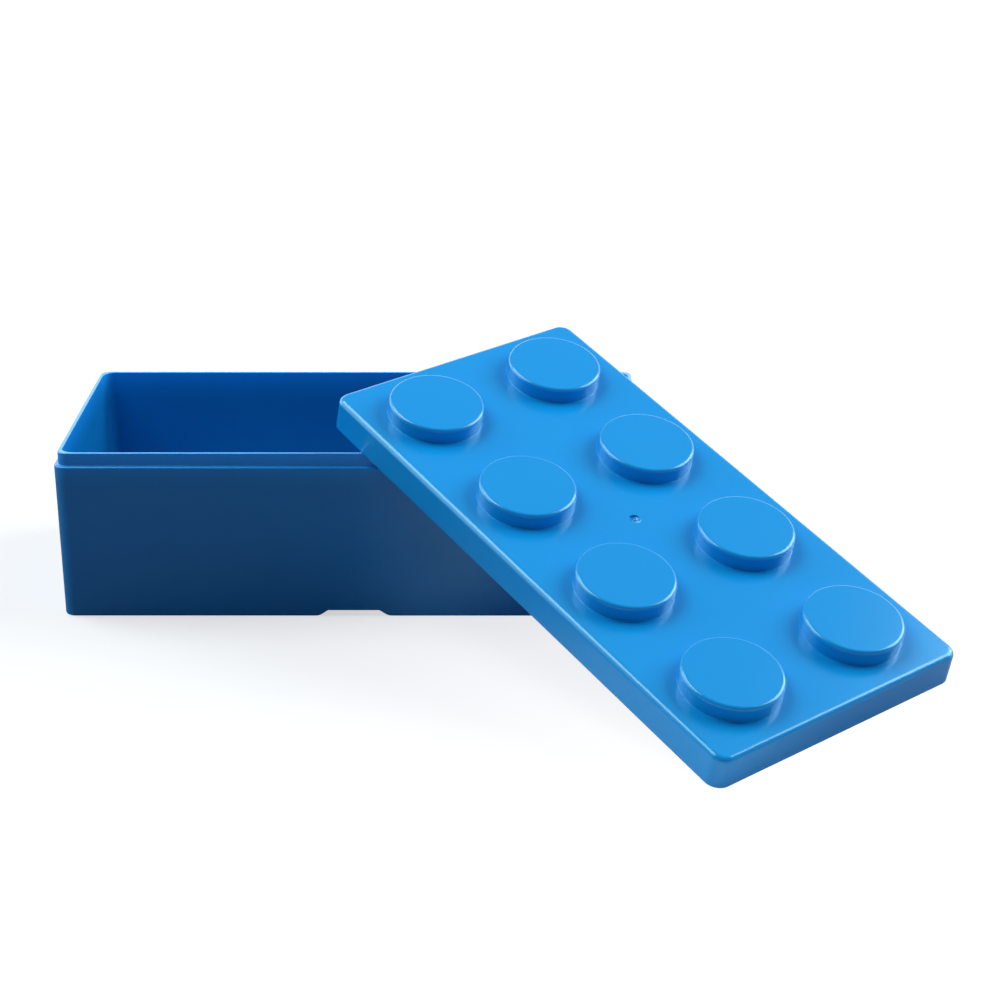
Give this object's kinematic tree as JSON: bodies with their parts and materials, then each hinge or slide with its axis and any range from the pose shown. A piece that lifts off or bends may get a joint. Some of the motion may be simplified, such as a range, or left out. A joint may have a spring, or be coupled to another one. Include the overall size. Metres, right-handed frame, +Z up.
{
  "type": "brick shaped storage box",
  "caption": "Lidded storage box shaped like a toy building brick: an open box with a stepped rim, and a loose lid with round hollow studs, taken off and leaning on the box.",
  "frame": {"origin": "middle of the box's foot, on the surface that it stands on", "axes": "+X along the box, towards the end that the lid leans over; +Y across the box to its back; +Z up"},
  "size_m": [0.291, 0.2328, 0.0851],
  "materials": {
    "blue_plastic": "injection-moulded plastic in one saturated blue, glossy, with a faint soft unevenness in its reflections"
  },
  "bodies": {
    "box": {"box": "blue_plastic"},
    "lid": {"lid": "blue_plastic"}
  },
  "joints": [
    {"name": "lid_lift", "type": "slide", "parent": "box", "child": "lid", "axis": [0, 0, 1], "range_m": [0, 0.11]}
  ]
}
